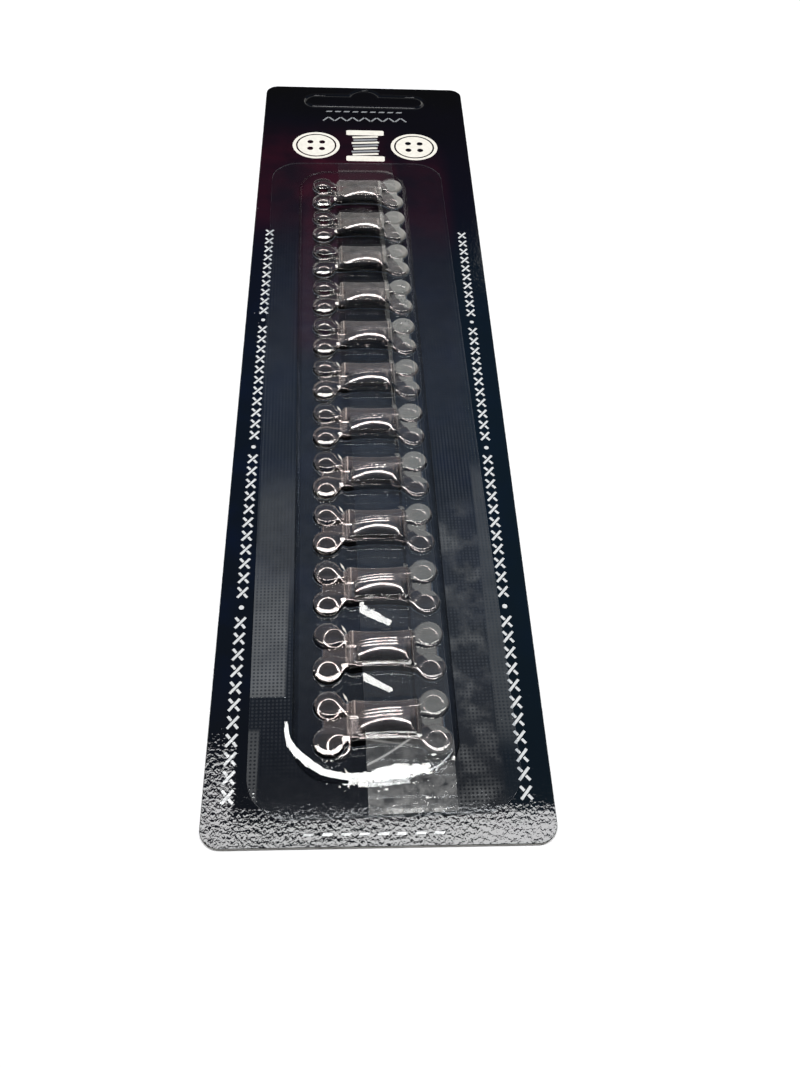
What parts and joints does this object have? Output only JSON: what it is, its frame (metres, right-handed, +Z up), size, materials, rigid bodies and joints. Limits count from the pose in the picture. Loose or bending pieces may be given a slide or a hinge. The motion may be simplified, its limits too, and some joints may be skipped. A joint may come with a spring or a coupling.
{
  "type": "hook and eye clasps on a blister card",
  "caption": "Carded sewing notions: flat trouser hooks hooked on wire eyes, sealed in a row of dog-bone pockets under a clear blister on a long glossy card with a hang slot.",
  "frame": {"origin": "middle of the card's underside, on the surface it lies on", "axes": "+X across the card towards the eyes' rings, +Y along the card towards the hang slot, +Z up out of the card's printed face"},
  "size_m": [0.05, 0.2, 0.0039],
  "materials": {
    "card": "gloss-laminated navy and black print",
    "blister": "clear thermoformed film, waffle-sealed flange",
    "film_strip": "thin clear film, slightly creased",
    "hook_metal": "dark nickel-grey plate, polished",
    "bar_metal": "dark nickel-grey plate, polished"
  },
  "bodies": {
    "root": {"card": "card", "blister": "blister", "film_strip": "film_strip", "hook_01": "hook_metal", "hook_02": "hook_metal", "hook_03": "hook_metal", "hook_04": "hook_metal", "hook_05": "hook_metal", "hook_06": "hook_metal", "hook_07": "hook_metal", "hook_08": "hook_metal", "hook_09": "hook_metal", "hook_10": "hook_metal", "hook_11": "hook_metal", "hook_12": "hook_metal", "bar_01": "bar_metal", "bar_02": "bar_metal", "bar_03": "bar_metal", "bar_04": "bar_metal", "bar_05": "bar_metal", "bar_06": "bar_metal", "bar_07": "bar_metal", "bar_08": "bar_metal", "bar_09": "bar_metal", "bar_10": "bar_metal", "bar_11": "bar_metal", "bar_12": "bar_metal"}
  },
  "joints": []
}
